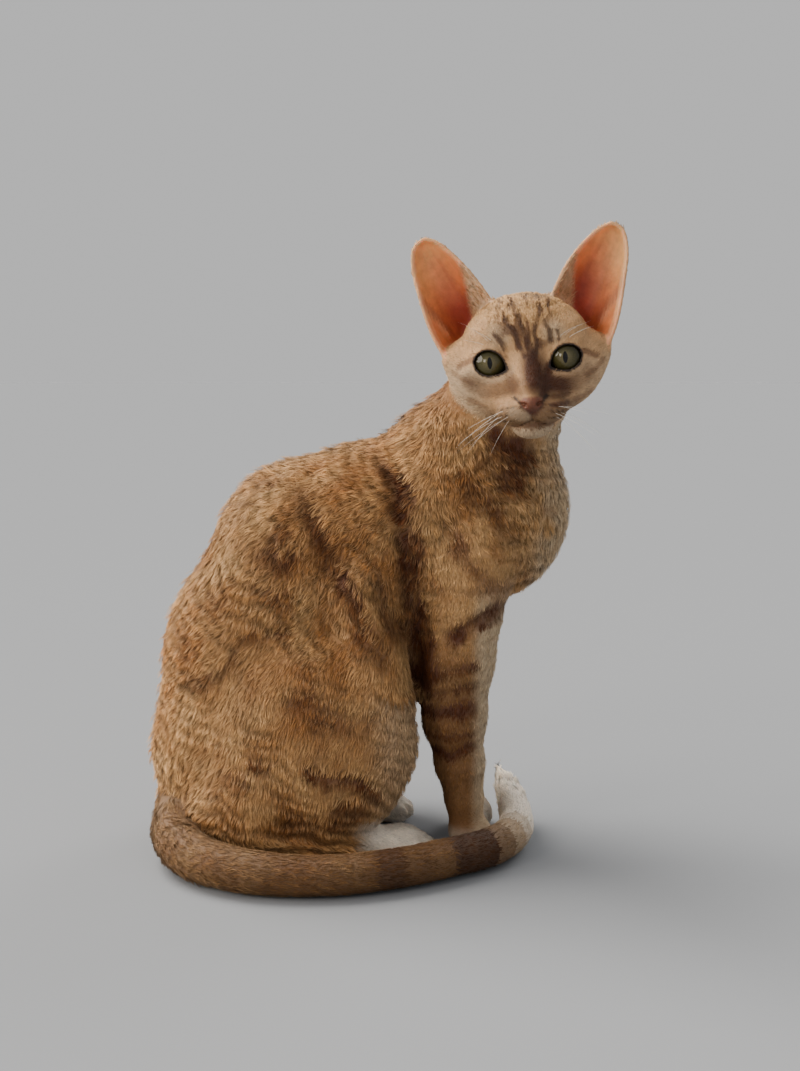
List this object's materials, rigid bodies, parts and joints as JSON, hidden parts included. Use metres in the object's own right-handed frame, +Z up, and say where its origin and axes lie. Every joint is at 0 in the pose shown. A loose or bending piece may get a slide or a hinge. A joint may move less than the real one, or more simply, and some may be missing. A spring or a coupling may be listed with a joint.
{
  "type": "devon rex cat",
  "caption": "Life-size still model of a seated short-coated curly cat with large ears, its head turned to one side and its tail curled round the feet.",
  "frame": {"origin": "on the floor, under the middle of the whole cat's bounding box", "axes": "+Z up, +X the way the body faces, +Y the cat's left; the head is turned to look along -Y"},
  "size_m": [0.2562, 0.1716, 0.3349],
  "materials": {
    "coat": "short soft wavy fur, orange tabby with paler chest, belly, paws and tail tip",
    "ear": "thin warm skin, almost bare inside the cup, with very short down outside",
    "eye": "wet glossy cornea over a grey-green iris with a dark slit pupil"
  },
  "bodies": {
    "root": {"torso": "coat", "neck": "coat", "head": "coat", "ear_left": "ear", "ear_right": "ear", "eye_left": "eye", "eye_right": "eye", "foreleg_left": "coat", "forepaw_left": "coat", "foreleg_right": "coat", "forepaw_right": "coat", "hindleg_left": "coat", "hindpaw_left": "coat", "hindleg_right": "coat", "hindpaw_right": "coat", "tail_root": "coat", "tail_side": "coat", "tail_bend": "coat", "tail_tip": "coat"}
  },
  "joints": []
}
